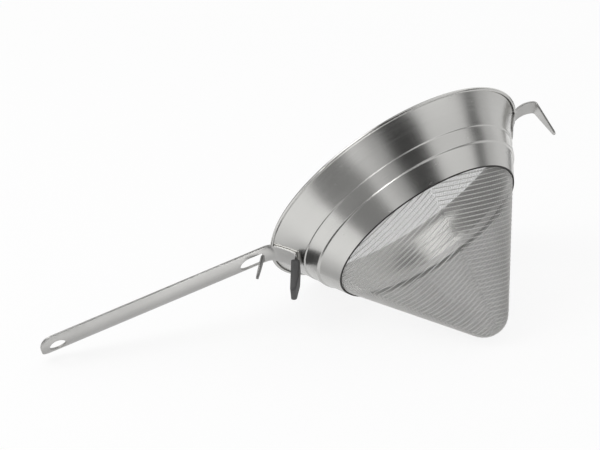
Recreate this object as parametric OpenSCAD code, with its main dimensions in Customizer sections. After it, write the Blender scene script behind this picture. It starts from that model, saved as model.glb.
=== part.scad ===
// Chinois: a conical fine strainer for stocks and sauces.
// Millimetres. Origin at the middle of the mouth, in the plane of the rim.
// +Z is up out of the mouth, the handle runs to -X and the pan hook sits at +X.

/* [Collar] */
// Diameter over the rolled rim
mouth_d = 201; // [180:1:220]
// Thickness of the collar's sheet
sheet_t = 0.8; // [0.6:0.05:1]
// Diameter of the rolled rim
curl_d = 2.4; // [2.2:0.1:3.2]
// Lean of the flared band where it reaches the rim, in degrees from upright
flare_angle = 46; // [43:1:50]
// Height of the flared band
flare_h = 20.7; // [18:0.1:24]
// How much smaller the flared band's foot is than the rim, in radius
flare_run = 15.3; // [13.5:0.1:16.5]
// Width of the upper ledge
ledge_1_w = 1.1; // [0.6:0.1:2]
// Height of the middle band
band_b_h = 9.1; // [7:0.1:13]
// How far the middle band leans in
band_b_run = 3.6; // [2.5:0.1:5]
// Width of the lower ledge
ledge_2_w = 1.6; // [0.8:0.1:2.4]
// Height of the lower band
band_c_h = 14.3; // [12:0.1:18]
// How far the lower band leans in
band_c_run = 8.5; // [7:0.1:10]

/* [Strainer cone] */
// Depth from the rim to the tip
depth = 133; // [120:0.1:150]
// Outer radius of the round tip
tip_r = 17.4; // [14:0.1:22]
// Thickness of the coarse outer wire cloth
coarse_t = 1.2; // [0.9:0.1:1.4]
// Thickness of the fine inner wire cloth
fine_t = 0.5; // [0.3:0.1:0.7]
// How far both cloths run up inside the collar
tuck_h = 6.5; // [5:0.1:8]

/* [Clamp ring] */
// Thickness of the ring that holds the cloths against the collar
ring_t = 0.8; // [0.6:0.1:1.2]
// How far the ring stands above the edge of the cloths
ring_over = 1.4; // [1:0.1:2]
// How far the ring's lower edge stays above the collar's
ring_lift = 1; // [0.5:0.1:2]
// Number of tack welds on the ring
tack_n = 8; // [4:1:12]
// Length of a tack weld
tack_l = 4; // [2:0.5:6]

/* [Handle] */
// Width of the handle's strip
handle_w = 23.5; // [22:0.5:30]
// Thickness of the handle's strip
handle_t = 1.5; // [1.2:0.1:2]
// Reach of the handle beyond the rim
handle_reach = 169; // [130:0.5:200]
// Height of the handle's long edges above the rim where they pass over it
handle_lift = 0.6; // [0:0.1:1.2]
// Climb of the handle, in degrees
handle_climb = 6.9; // [2:0.1:12]
// Depth of the trough that stiffens the handle
trough_h = 2.4; // [1:0.1:3]
// Radius of the handle's end corners
end_r = 9; // [6:0.5:11]
// Diameter of the hanging hole
hang_d = 12; // [8:0.5:14]
// Distance of the hanging hole's middle from the handle's end
hang_in = 12; // [11:0.5:16]

/* [Pan rest] */
// Width of the slot that the tongue is cut from
slot_w = 15; // [12:0.2:16]
// Length of that slot
slot_l = 17.2; // [15:0.1:20]
// Distance of the slot from the rim
slot_gap = 5.8; // [5:0.1:8]
// Width of the tongue
tongue_w = 9; // [7:0.2:10.2]
// Length of the tongue's straight part
tongue_l = 15; // [11:0.5:15.5]
// Width of the tongue's tip
tongue_tip_w = 4; // [3:0.5:6]
// Lean of the tongue, in degrees from upright
tongue_lean = 44; // [35:1:55]
// How far down the flared band the handle's root reaches
root_h = 14.6; // [13.6:0.1:15.6]
// Length of the foot below the root
foot_l = 22.4; // [20:0.1:26]
// Lean of the foot, in degrees from upright
foot_lean = 33; // [24:1:36]
// Width of the foot inside its sleeve
foot_w = 16; // [14:0.5:20]
// Width of the foot's tip
foot_tip_w = 14; // [9:0.5:14]
// Length of the foot's sleeve
sleeve_l = 22.5; // [16:0.5:22.5]
// Wall of the sleeve
sleeve_wall = 2.2; // [1.5:0.1:2.5]

/* [Pan hook] */
// Width of the hook's strip
hook_w = 16.5; // [14:0.5:22]
// Thickness of the hook's strip
hook_t = 1.3; // [1:0.1:1.6]
// Reach of the hook beyond the rim
hook_reach = 16.2; // [14:0.2:22]
// Depth of the hook's tip below the rim
hook_drop = 27.8; // [20:0.5:32]
// Width of the hook's tip
hook_tip_w = 5; // [4:0.5:8]
// How far down the flared band the hook's plate reaches
hook_plate_h = 12.6; // [12:0.1:16]

/* [Spot welds] */
// Diameter of a spot weld
weld_d = 4; // [3:0.5:5]
// Distance between two welds side by side on the handle's root
weld_across = 12; // [8:0.5:14]
// Distance between two welds one below the other
weld_along = 5; // [4.5:0.1:5.5]
// How deep the electrodes leave each weld below the surface
weld_dip = 0.1; // [0.05:0.05:0.2]

/* [Hidden] */

// Fineness of round shapes
$fn = 96;
// Steps across a strip, round a bend, down the flare and round the tip
across_n = 12;
bend_n = 8;
flare_n = 12;
tip_n = 14;
// Room round a strip where the rolled rim is cut away for it
strip_gap = 0.3;
// Overlap that makes a cut come out clean
cut = 0.5;

// Plane geometry. A point is [x, z] or [r, z] and an angle is a heading.
function heading(a) = [cos(a), sin(a)];
function right_of(a) = [sin(a), -cos(a)];
function unit(v) = v / norm(v);
function turned(v) = [v.y, -v.x];
function backwards(list) = [for (i = [len(list) - 1:-1:0]) list[i]];
// Where a bend of radius r ends that turns right from heading a to heading b
function bend_right(r, a, b) = r * (right_of(a) - right_of(b));
// The path that keeps t to the right of a path, with mitred corners
function edge(p, i) = unit(p[i + 1] - p[i]);
function corner(p, i) =
    let (last = len(p) - 1,
         a = turned(edge(p, max(i - 1, 0))),
         b = turned(edge(p, min(i, last - 1))))
    (a + b) / (1 + a * b);
function beside(p, t) = [for (i = [0:len(p) - 1]) p[i] + corner(p, i) * t];
// The outline of a sheet of thickness t to the right of a path
function sheet(p, t) = concat(p, backwards(beside(p, t)));

// The flared band's outer face is an arc that starts inside the rolled rim
mouth_r = mouth_d / 2;
curl_r = curl_d / 2;
curl_c = [mouth_r - curl_r, -curl_r];
wall_top = curl_c + (curl_r - sheet_t) * [-cos(flare_angle), sin(flare_angle)];
flare_foot = [mouth_r - flare_run, -flare_h];
flare_chord = wall_top - flare_foot;
flare_turn = flare_angle - atan2(flare_chord.x, flare_chord.y);
flare_r = norm(flare_chord) / (2 * sin(flare_turn));
flare_c = wall_top + flare_r * [cos(flare_angle), -sin(flare_angle)];
// Lean and radius of the flared band's outer face at height z
function wall_lean(z) = asin((z - flare_c.y) / flare_r);
function wall_r(z) = flare_c.x - sqrt(pow(flare_r, 2) - pow(z - flare_c.y, 2));

// The other bands and ledges follow the flare down to the collar's edge
ledge_slope = 30;
band_b_top = flare_foot - ledge_1_w * [1, tan(ledge_slope)];
band_b_foot = band_b_top - [band_b_run, band_b_h];
band_c_top = band_b_foot - ledge_2_w * [1, tan(ledge_slope)];
band_c_foot = band_c_top - [band_c_run, band_c_h];
flare_path = [for (i = [0:flare_n])
    let (a = flare_angle - 2 * flare_turn * i / flare_n)
    flare_c + flare_r * [-cos(a), sin(a)]];
collar_path = concat(flare_path, [band_b_top, band_b_foot, band_c_top, band_c_foot]);

// Layers inside the lower band: k is a layer's distance from the collar's inner face
band_c_dir = unit(band_c_foot - band_c_top);
tip_c = [0, tip_r - depth];
function seat(k, up) = band_c_foot + turned(band_c_dir) * (sheet_t + k) - band_c_dir * up;
// The cone runs from the collar's edge and touches the round tip
function touch_angle(k) =
    let (v = seat(k, 0) - tip_c)
    atan2(v.y, v.x) - acos((tip_r - k) / norm(v));
function cone_path(k) = concat([seat(k, tuck_h), seat(k, 0)],
    [for (i = [0:tip_n]) tip_c + (tip_r - k) * heading(touch_angle(k)
        - (90 + touch_angle(k)) * i / tip_n)]);

module turned_sheet(path, t) {
    rotate_extrude() polygon(sheet(path, t));
}

module cloth(k, t) {
    rotate_extrude() polygon(concat(cone_path(k), backwards(cone_path(k + t))));
}

module curl_profile() {
    roll_start = 180 - flare_angle + 4;
    roll_end = 240;
    translate(curl_c) difference() {
        circle(curl_r);
        circle(curl_r - sheet_t);
        polygon([[0, 0], 2 * curl_r * heading(roll_start),
            2 * curl_r * heading((roll_start + roll_end) / 2), 2 * curl_r * heading(roll_end)]);
    }
}

// What is cut from the rolled rim where a strip of width w passes, side is -1 or 1
module rim_notch(w, side) {
    low = -curl_d - 1;
    outside = mouth_r + 2;
    half = w / 2 + strip_gap;
    intersection() {
        rotate_extrude() polygon([wall_top, wall_top + heading(90 - flare_angle) * 2 * curl_d,
            [outside + curl_d, wall_top.y], [outside + curl_d, low], [wall_r(low) + 0.02, low]]);
        translate([side * mouth_r, 0, 0]) cube([mouth_r, 2 * half, 4 * mouth_r], center = true);
    }
}

module collar_shell() {
    turned_sheet(collar_path, sheet_t);
    difference() {
        rotate_extrude() curl_profile();
        rim_notch(handle_w, -1);
        rim_notch(hook_w, 1);
    }
}

// A pressed strip is a grid of points on the face that touches the collar.
// The strip's thickness lies behind that face.
across = [for (j = [0:across_n]) 2 * j / across_n - 1];
function face_normal(g, k, j) =
    unit(cross(g[min(k + 1, len(g) - 1)][j] - g[max(k - 1, 0)][j],
               g[k][min(j + 1, across_n)] - g[k][max(j - 1, 0)]));

module strip(g, t) {
    rows = len(g);
    cols = across_n + 1;
    back = rows * cols;
    face = [for (k = [0:rows - 1]) for (j = [0:across_n]) g[k][j]];
    rear = [for (k = [0:rows - 1]) for (j = [0:across_n]) g[k][j] - t * face_normal(g, k, j)];
    sides = [for (k = [0:rows - 2]) for (j = [0:across_n - 1])
        let (a = k * cols + j, b = a + 1, c = a + cols, d = c + 1)
        each [[a, b, d], [a, d, c], [back + a, back + d, back + b], [back + a, back + c, back + d]]];
    edges = [for (k = [0:rows - 2])
        let (a = k * cols, b = a + cols, c = a + across_n, d = c + cols)
        each [[a, b, back + b], [a, back + b, back + a], [c, back + c, back + d], [c, back + d, d]]];
    last = (rows - 1) * cols;
    ends = [for (j = [0:across_n - 1])
        let (a = j, b = j + 1, c = last + j, d = c + 1)
        each [[b, a, back + a], [b, back + a, back + b], [c, d, back + d], [c, back + d, back + c]]];
    polyhedron(concat(face, rear), concat(sides, edges, ends));
}

// A row of points on the flared band's outer face, side is -1 or 1
function wall_point(side, y, z) = [side * sqrt(pow(wall_r(z), 2) - y * y), y, z];
// A row moved by v in the XZ plane, with its crown kept in the share keep
function moved(row, v, keep) =
    let (mid = row[across_n / 2])
    [for (p = row) [mid.x + (p.x - mid.x) * keep + v.x, p.y, mid.z + (p.z - mid.z) * keep + v.y]];
function widened(row, share) = [for (p = row) [p.x, p.y * share, p.z]];
function bezier(a, b, c, d, t) =
    pow(1 - t, 3) * a + 3 * pow(1 - t, 2) * t * b + 3 * (1 - t) * t * t * c + pow(t, 3) * d;

// The handle's two long edges start at the rim and climb away from it
edge_start = [-(mouth_r - 0.75 * curl_d), handle_lift];
handle_dir = -handle_climb;
edge_len = (mouth_r + handle_reach + edge_start.x) / cos(handle_climb);
blend_start = (mouth_r + slot_gap - 1 + edge_start.x) / cos(handle_climb);
root_top = 0.7 * curl_d;
function handle_row(s) = [for (w = across)
    let (p = edge_start - s * heading(handle_dir) + trough_h * (1 - w * w) * right_of(handle_dir))
    [p.x, w * handle_w / 2, p.y]];
function root_z(w, f) = -(root_top + trough_h * (1 - w * w)) * (1 - f) - root_h * f;
function root_row(f) = [for (w = across) wall_point(-1, w * handle_w / 2, root_z(w, f))];
// From the trough to the root each line along the strip is one smooth curve
reach_in = 3;
function blend_row(f) =
    let (a = handle_row(blend_start), d = root_row(0))
    [for (j = [0:across_n])
        let (down = wall_lean(d[j].z) - 90,
             b = a[j] + reach_in * [cos(handle_dir), 0, sin(handle_dir)],
             c = d[j] - reach_in * [cos(down), 0, sin(down)])
        bezier(a[j], b, c, d[j], f)];
// Below the root the strip turns away from the collar and flattens into the foot
root_dir = wall_lean(-root_h) - 90;
foot_dir = -90 - foot_lean;
foot_bend_r = handle_t + 0.8;
foot_taper = 7;
foot_turn = bend_right(foot_bend_r, root_dir, foot_dir);
foot_start = [-wall_r(-root_h), -root_h] + foot_turn;
foot_top = moved(root_row(1), foot_turn, 0);
sleeve_top = foot_l + sleeve_wall - sleeve_l;
function foot_row(s, w) = widened(moved(foot_top, s * heading(foot_dir), 1), w / handle_w);
handle_grid = concat(
    [handle_row(edge_len), handle_row(blend_start)],
    [for (k = [1:bend_n]) blend_row(k / bend_n)],
    [for (k = [1:bend_n]) root_row(k / bend_n)],
    [for (k = [1:bend_n])
        let (a = root_dir + (foot_dir - root_dir) * k / bend_n)
        moved(root_row(1), bend_right(foot_bend_r, root_dir, a), 1 - k / bend_n)],
    [foot_row(sleeve_top, foot_w), foot_row(foot_l - foot_taper, foot_w),
     foot_row(foot_l, foot_tip_w)]);

// Along the handle: x runs towards the collar, z up from the two long edges
module on_handle(s) {
    translate([edge_start.x, 0, edge_start.y]) rotate([0, handle_climb, 0])
        translate([-s, 0, 0]) children();
}

// Along the foot: x runs to its tip, z towards the collar from the face of the strip
module on_foot() {
    translate([foot_start.x, 0, foot_start.y]) rotate([0, -foot_dir, 0]) children();
}

module through_handle(h = 0) {
    translate([0, 0, -trough_h - handle_t - cut])
        linear_extrude(trough_h + handle_t + 2 * cut + h) children();
}

slot_start = (mouth_r + slot_gap + edge_start.x) / cos(handle_climb);
module slot() {
    on_handle(slot_start + slot_l) through_handle() {
        translate([slot_w / 2, -slot_w / 2]) square([slot_l - slot_w / 2, slot_w]);
        translate([slot_w / 2, 0]) circle(slot_w / 2);
    }
}

module hang_hole() {
    on_handle(edge_len - hang_in) through_handle() circle(hang_d / 2);
}

module end_corners() {
    on_handle(edge_len) through_handle() for (side = [-1, 1])
        difference() {
            translate([-cut, side * (handle_w / 2 - end_r / 2 + cut)])
                square([2 * end_r, end_r + 2 * cut], center = true);
            translate([end_r, side * (handle_w / 2 - end_r)]) circle(end_r);
            translate([end_r, side * (handle_w / 2 - end_r) - end_r]) square(2 * end_r);
        }
}

// The tongue's upper face leaves the trough's floor and turns down and away
tongue_bend_r = handle_t + 0.4;
tongue_root = 1;
tongue_sink = 0.2;
tongue_out = 180 - handle_climb;
tongue_dir = 270 - tongue_lean;
tongue_0 = edge_start - (slot_start - tongue_root) * heading(handle_dir)
    + (trough_h + tongue_sink) * right_of(handle_dir);
tongue_path = concat([tongue_0],
    [for (k = [0:bend_n])
        let (a = tongue_out + (tongue_dir - tongue_out) * k / bend_n)
        tongue_0 + tongue_root * heading(tongue_out)
            + tongue_bend_r * (right_of(a) - right_of(tongue_out))]);
tongue_end = tongue_path[len(tongue_path) - 1] + tongue_l * heading(tongue_dir);
module tongue() {
    taper = (tongue_w - tongue_tip_w) / 2 / (0.6 * tongue_l);
    far = 3 * tongue_l;
    intersection() {
        rotate([90, 0, 0]) linear_extrude(tongue_w, center = true)
            polygon(sheet(concat(tongue_path, [tongue_end]), -handle_t));
        translate([tongue_end.x, 0, tongue_end.y]) rotate([0, -tongue_dir, 0])
            linear_extrude(8 * tongue_l, center = true)
                polygon([[0, -tongue_tip_w / 2], [0, tongue_tip_w / 2],
                    [-far, tongue_tip_w / 2 + far * taper], [-far, -tongue_tip_w / 2 - far * taper]]);
    }
}

// The outline of the foot grown by g, from s along the foot to its tip
function foot_outline(s, g) = [
    [s, -foot_w / 2 - g], [foot_l - foot_taper + g / 2, -foot_w / 2 - g],
    [foot_l + g, -foot_tip_w / 2 - g], [foot_l + g, foot_tip_w / 2 + g],
    [foot_l - foot_taper + g / 2, foot_w / 2 + g], [s, foot_w / 2 + g]];
bevel = [11, 0.9 * sleeve_wall];
module sleeve_body() {
    end = foot_l + sleeve_wall;
    intersection() {
        translate([0, 0, -handle_t - sleeve_wall]) linear_extrude(handle_t + 2 * sleeve_wall)
            polygon(foot_outline(sleeve_top, sleeve_wall));
        rotate([90, 0, 0]) linear_extrude(2 * handle_w, center = true)
            polygon([[sleeve_top, sleeve_wall], [end - bevel.x, sleeve_wall], [end, sleeve_wall - bevel.y],
                [end, -handle_t - sleeve_wall], [sleeve_top, -handle_t - sleeve_wall]]);
    }
}

// The hook's strip: up the flared band, over the rim, out in a low arch and down
hook_start = 90 - flare_angle;
arch_start = 18;
arch_end = -28;
hook_bend_r = [4.5, hook_t + 2.2];
over_rim = wall_top + bend_right(hook_bend_r[0], hook_start, arch_start);
last_bend = bend_right(hook_bend_r[1], arch_end, -90);
arch_r = (mouth_r + hook_reach - over_rim.x - last_bend.x) / (sin(arch_start) - sin(arch_end));
arch_out = over_rim + bend_right(arch_r, arch_start, arch_end);
leg_top = arch_out + last_bend;
function hook_bend(from, r, a, b, crown_a, crown_b) = [for (k = [1:bend_n])
    let (f = k / bend_n)
    moved(plate_row(1), from - wall_top + bend_right(r, a, a + (b - a) * f),
        crown_a + (crown_b - crown_a) * f)];
function plate_row(f) = [for (w = across)
    wall_point(1, w * hook_w / 2, -hook_plate_h + (hook_plate_h + wall_top.y) * f)];
hook_grid = concat(
    [for (k = [0:bend_n]) plate_row(k / bend_n)],
    hook_bend(wall_top, hook_bend_r[0], hook_start, arch_start, 1, 0),
    hook_bend(over_rim, arch_r, arch_start, arch_end, 0, 0),
    hook_bend(arch_out, hook_bend_r[1], arch_end, -90, 0, 0),
    [widened(moved(plate_row(1), [leg_top.x, -hook_drop] - wall_top, 0), hook_tip_w / hook_w)]);

// A weld's axis stands square on the flared band, with z outwards
module on_wall(side, y, z) {
    rotate([0, 0, (side < 0 ? 180 : 0) + asin(side * y / wall_r(z))])
        translate([wall_r(z), 0, z]) rotate([0, 90 + wall_lean(z), 0]) children();
}

handle_weld_z = -(root_h - weld_d / 2 - weld_along / 2 - 0.4);
hook_weld_z = -hook_plate_h / 2 - 0.4;
module handle_welds(from, to) {
    for (y = [-1, 1]) for (z = [-1, 1])
        on_wall(-1, y * weld_across / 2, handle_weld_z + z * weld_along / 2)
            translate([0, 0, from]) cylinder(d = weld_d, h = to - from);
}

module hook_welds(from, to) {
    for (z = [-1, 1])
        on_wall(1, 0, hook_weld_z + z * weld_along / 2)
            translate([0, 0, from]) cylinder(d = weld_d, h = to - from);
}

module collar() {
    color("gainsboro") difference() {
        collar_shell();
        handle_welds(-3 * sheet_t, sheet_t);
        hook_welds(-3 * sheet_t, sheet_t);
    }
}

module coarse_mesh() {
    color("darkgray") cloth(0, coarse_t);
}

module fine_mesh() {
    color("silver") cloth(coarse_t, fine_t);
}

module clamp_ring() {
    k = coarse_t + fine_t;
    color("lightgray") turned_sheet([seat(k, tuck_h + ring_over), seat(k, ring_lift)], ring_t);
}

// A tack weld fills the groove over the cloths' edge, between the collar and the ring
module ring_tack_welds() {
    k = coarse_t + fine_t;
    sweep = tack_l / seat(k, tuck_h).x * 180 / PI;
    color("gray") for (i = [0:tack_n - 1])
        rotate([0, 0, 360 * (i + 0.5) / tack_n - sweep / 2])
            rotate_extrude(angle = sweep)
                polygon([seat(0, tuck_h), seat(0, tuck_h + ring_over + k / 2),
                    seat(k, tuck_h + ring_over), seat(k, tuck_h)]);
}

module handle() {
    color("silver") {
        difference() {
            strip(handle_grid, handle_t);
            slot();
            hang_hole();
            end_corners();
            handle_welds(-sheet_t, 3 * handle_t);
        }
        tongue();
    }
}

module handle_spot_welds() {
    color("dimgray") handle_welds(weld_dip - sheet_t, handle_t - weld_dip);
}

module foot_sleeve() {
    color([0.2, 0.2, 0.2]) on_foot() difference() {
        sleeve_body();
        translate([0, 0, -handle_t]) linear_extrude(handle_t) polygon(foot_outline(0, 0));
    }
}

module pan_hook() {
    color("silver") difference() {
        strip(hook_grid, hook_t);
        hook_welds(-sheet_t, 3 * hook_t);
    }
}

module hook_spot_welds() {
    color("dimgray") hook_welds(weld_dip - sheet_t, hook_t - weld_dip);
}

collar();
coarse_mesh();
fine_mesh();
clamp_ring();
ring_tack_welds();
handle();
handle_spot_welds();
foot_sleeve();
pan_hook();
hook_spot_welds();
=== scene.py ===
# %% [markdown]
# A chinois strainer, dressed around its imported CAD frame.
# The frame gives ten rigid pieces in metres, all on one body called root. Nine of
# them are rebuilt below on the same sizes with finer curves, rounded edges and real
# woven wire, and the tack welds stay as they are. Each gets its finish, and then come
# the table, the light and the camera.

# %% Load the frame
import math

import bpy
import numpy as np
from mathutils import Matrix, Vector


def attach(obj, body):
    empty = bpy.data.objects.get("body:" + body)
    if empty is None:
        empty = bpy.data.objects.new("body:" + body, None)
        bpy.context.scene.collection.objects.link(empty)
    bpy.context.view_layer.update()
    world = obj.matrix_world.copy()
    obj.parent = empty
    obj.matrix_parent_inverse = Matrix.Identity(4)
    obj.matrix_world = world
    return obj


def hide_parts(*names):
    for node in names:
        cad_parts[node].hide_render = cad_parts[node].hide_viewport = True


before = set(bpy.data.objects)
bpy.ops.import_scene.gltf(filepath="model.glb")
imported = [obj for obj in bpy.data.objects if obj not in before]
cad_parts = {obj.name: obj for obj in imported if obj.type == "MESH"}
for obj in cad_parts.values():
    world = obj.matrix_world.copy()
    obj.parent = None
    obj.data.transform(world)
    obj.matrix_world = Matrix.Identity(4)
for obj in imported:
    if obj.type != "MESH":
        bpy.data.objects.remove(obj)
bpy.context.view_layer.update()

print("CAD nodes:", sorted(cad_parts))

# %% [markdown]
# Every shape is worked out in millimetres, as the CAD source does, and scaled once
# when its mesh is made. The driving sizes below are the ones of the CAD source, so a
# rebuilt piece sits exactly where its CAD solid is.

# %% Sizes in millimetres
MM = 0.001
MOUTH_D, SHEET_T, CURL_D = 201, 0.8, 2.4
FLARE_ANGLE, FLARE_H, FLARE_RUN = 46, 20.7, 15.3
LEDGE_1_W, BAND_B_H, BAND_B_RUN = 1.1, 9.1, 3.6
LEDGE_2_W, BAND_C_H, BAND_C_RUN = 1.6, 14.3, 8.5
LEDGE_SLOPE = 30
DEPTH, TIP_R, COARSE_T, FINE_T, TUCK_H = 133, 17.4, 1.2, 0.5, 6.5
RING_T, RING_OVER, RING_LIFT = 0.8, 1.4, 1
HANDLE_W, HANDLE_T, HANDLE_REACH, HANDLE_LIFT, HANDLE_CLIMB = 23.5, 1.5, 169, 0.6, 6.9
TROUGH_H, END_R, HANG_D, HANG_IN = 2.4, 9, 12, 12
SLOT_W, SLOT_L, SLOT_GAP = 15, 17.2, 5.8
TONGUE_W, TONGUE_L, TONGUE_TIP_W, TONGUE_LEAN = 9, 15, 4, 44
ROOT_H, FOOT_L, FOOT_LEAN, FOOT_W, FOOT_TIP_W = 14.6, 22.4, 33, 16, 14
SLEEVE_L, SLEEVE_WALL = 22.5, 2.2
HOOK_W, HOOK_T, HOOK_REACH, HOOK_DROP, HOOK_TIP_W, HOOK_PLATE_H = 16.5, 1.3, 16.2, 27.8, 5, 12.6
WELD_D, WELD_ACROSS, WELD_ALONG = 4, 12, 5
mouth_r, curl_r = MOUTH_D / 2, CURL_D / 2
print("mouth", MOUTH_D, "mm, depth", DEPTH, "mm")

# %% [markdown]
# Plane geometry for profiles and bent strips. A point is (x, z) or (r, z), and an
# angle is a heading in degrees. A bend to the right leads from one heading to another.


# %% Plane helpers
def point(*numbers):
    return np.array(numbers, float)


def heading(angle):
    a = math.radians(angle)
    return point(math.cos(a), math.sin(a))


def right_of(angle):
    a = math.radians(angle)
    return point(math.sin(a), -math.cos(a))


def unit(v):
    return v / np.linalg.norm(v)


def bend_right(radius, from_angle, to_angle):
    return radius * (right_of(from_angle) - right_of(to_angle))


def beside(path, distance):
    """The path that runs at a distance to the right, with mitred corners."""
    edges = [unit(b - a) for a, b in zip(path, path[1:])]
    rights = [point(e[1], -e[0]) for e in edges]
    pairs = zip([rights[0]] + rights, rights + [rights[-1]])
    return [p + (a + b) / (1 + a @ b) * distance for p, (a, b) in zip(path, pairs)]


def rounded(path, reach, steps=4, straight=0.995):
    """The same path with each sharp corner turned into a small curve."""
    made = [path[0]]
    for a, p, b in zip(path, path[1:], path[2:]):
        if unit(p - a) @ unit(b - p) > straight:
            made.append(p)
            continue
        start, end = p + unit(a - p) * reach, p + unit(b - p) * reach
        made += [(1 - t) ** 2 * start + 2 * t * (1 - t) * p + t * t * end
                 for t in np.linspace(0, 1, steps + 1)]
    return made + [path[-1]]


def round_end(half, radius, s):
    """The half width of a strip at a distance s from an end whose corners are round."""
    past = max(radius - s, 0)
    return half - radius + math.sqrt(max(radius ** 2 - past ** 2, 0))


# %% [markdown]
# The collar is one sheet: a flared band under the rim, a narrow ledge, a steeper band,
# a second ledge and the band that holds the cloths. Its profile could be drawn as a
# curve, but here it is worked out in numbers first, because the strips and the welds
# lie on the same flared wall and have to follow it.

# %% The collar's profile
curl_c = point(mouth_r - curl_r, -curl_r)
wall_top = curl_c + (curl_r - SHEET_T) * point(-heading(FLARE_ANGLE)[0], heading(FLARE_ANGLE)[1])
flare_foot = point(mouth_r - FLARE_RUN, -FLARE_H)
chord = wall_top - flare_foot
flare_turn = FLARE_ANGLE - math.degrees(math.atan2(*chord))
flare_r = np.linalg.norm(chord) / (2 * math.sin(math.radians(flare_turn)))
flare_c = wall_top - flare_r * right_of(90 + FLARE_ANGLE) * point(-1, 1)


def wall_lean(z):
    return math.degrees(math.asin((z - flare_c[1]) / flare_r))


def wall_r(z):
    return flare_c[0] - np.sqrt(flare_r ** 2 - (z - flare_c[1]) ** 2)


ledge = point(1, math.tan(math.radians(LEDGE_SLOPE)))
band_b_top = flare_foot - LEDGE_1_W * ledge
band_b_foot = band_b_top - point(BAND_B_RUN, BAND_B_H)
band_c_top = band_b_foot - LEDGE_2_W * ledge
band_c_foot = band_c_top - point(BAND_C_RUN, BAND_C_H)
band_c_dir = unit(band_c_foot - band_c_top)
FLARE_STEPS = 30
flare_path = [point(wall_r(z), z) for z in np.linspace(wall_top[1], -FLARE_H, FLARE_STEPS)]
collar_path = flare_path + [band_b_top, band_b_foot, band_c_top, band_c_foot]
print("collar from r", round(float(wall_top[0]), 2), "to r", round(float(band_c_foot[0]), 2))

# %% [markdown]
# Steel shows its finish more than its colour. Three effects are shared as node groups:
# fine turning lines round a spun part, fine rolling lines along a strip, and the
# faint cloudy marks that handling and washing leave. Each gives plain values, and each
# steel mixes them in its own strength.


# %% Helpers for node trees
def start_group(name, inputs, outputs):
    group = bpy.data.node_groups.new(name, "ShaderNodeTree")
    for label, kind, value in inputs:
        socket = group.interface.new_socket(name=label, in_out="INPUT", socket_type=kind)
        if value is not None:
            socket.default_value = value
    for label in outputs:
        group.interface.new_socket(name=label, in_out="OUTPUT", socket_type="NodeSocketFloat")
    return group, group.nodes.new("NodeGroupInput"), group.nodes.new("NodeGroupOutput")


def add(tree, kind, links=(), **settings):
    """Adds a node, sets its properties, and links or sets its numbered or named sockets."""
    node = tree.nodes.new(kind)
    for key, value in settings.items():
        setattr(node, key, value)
    for index, source in links:
        if isinstance(source, bpy.types.NodeSocket):
            tree.links.new(source, node.inputs[index])
        else:
            node.inputs[index].default_value = source
    return node


def math_node(tree, operation, a, b=0.5, c=0.5):
    return add(tree, "ShaderNodeMath", [(0, a), (1, b), (2, c)], operation=operation).outputs[0]


# %% Turning lines, rolling lines and handling marks
spun, spun_in, spun_out = start_group(
    "Turning lines", [("Vector", "NodeSocketVector", None), ("Fineness", "NodeSocketFloat", 900.0)],
    ["Lines"])
parts = add(spun, "ShaderNodeSeparateXYZ", [(0, spun_in.outputs[0])])
square_x = math_node(spun, "MULTIPLY", parts.outputs[0], parts.outputs[0])
squares = math_node(spun, "MULTIPLY_ADD", parts.outputs[1], parts.outputs[1], square_x)
from_axis = math_node(spun, "SQRT", squares)
ring_place = add(spun, "ShaderNodeCombineXYZ", [(0, from_axis), (2, parts.outputs[2])])
rings = add(spun, "ShaderNodeTexNoise",
            [("Vector", ring_place.outputs[0]), ("Scale", spun_in.outputs[1]), ("Detail", 3.0)])
spun.links.new(rings.outputs[0], spun_out.inputs[0])

STRIP_LINES = (12.0, 1400.0, 60.0)
rolled, rolled_in, rolled_out = start_group(
    "Rolling lines",
    [("Vector", "NodeSocketVector", None), ("Stretch", "NodeSocketVector", STRIP_LINES)], ["Lines"])
drawn_out = add(rolled, "ShaderNodeVectorMath",
                [(0, rolled_in.outputs[0]), (1, rolled_in.outputs[1])], operation="MULTIPLY")
streaks = add(rolled, "ShaderNodeTexNoise",
              [("Vector", drawn_out.outputs[0]), ("Scale", 1.0), ("Detail", 4.0)])
rolled.links.new(streaks.outputs[0], rolled_out.inputs[0])

CLOUD_SIZE, SCRATCH_LINES = 18.0, (60.0, 700.0, 240.0)
marks, marks_in, marks_out = start_group(
    "Handling marks", [("Vector", "NodeSocketVector", None), ("Size", "NodeSocketFloat", CLOUD_SIZE)],
    ["Cloud", "Scratches"])
cloud = add(marks, "ShaderNodeTexNoise",
            [("Vector", marks_in.outputs[0]), ("Scale", marks_in.outputs[1]),
             ("Detail", 5.0), ("Roughness", 0.6), ("Distortion", 0.6)])
marks.links.new(cloud.outputs[0], marks_out.inputs[0])
stretched = add(marks, "ShaderNodeVectorMath", [(0, marks_in.outputs[0]), (1, SCRATCH_LINES)],
                operation="MULTIPLY")
hairs = add(marks, "ShaderNodeTexNoise",
            [("Vector", stretched.outputs[0]), ("Scale", 1.0), ("Detail", 2.0)])
scratches = add(marks, "ShaderNodeMapRange", [(0, hairs.outputs[0]), (1, 0.68), (2, 0.76)])
marks.links.new(scratches.outputs[0], marks_out.inputs[1])
print("groups:", [g.name for g in (spun, rolled, marks)])

# %% [markdown]
# One function builds every steel. The turning or rolling lines drive a faint bump and
# part of the roughness, and the cloudy marks shift both colour and roughness a little.
# The numbers that are the same all over the surface are set on the shader itself.


# %% Helpers for materials
def new_material(name):
    """A material with nodes, its tree and its Principled shader."""
    material = bpy.data.materials.new(name)
    material.use_nodes = True
    tree = material.node_tree
    return material, tree, tree.nodes["Principled BSDF"]


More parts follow.
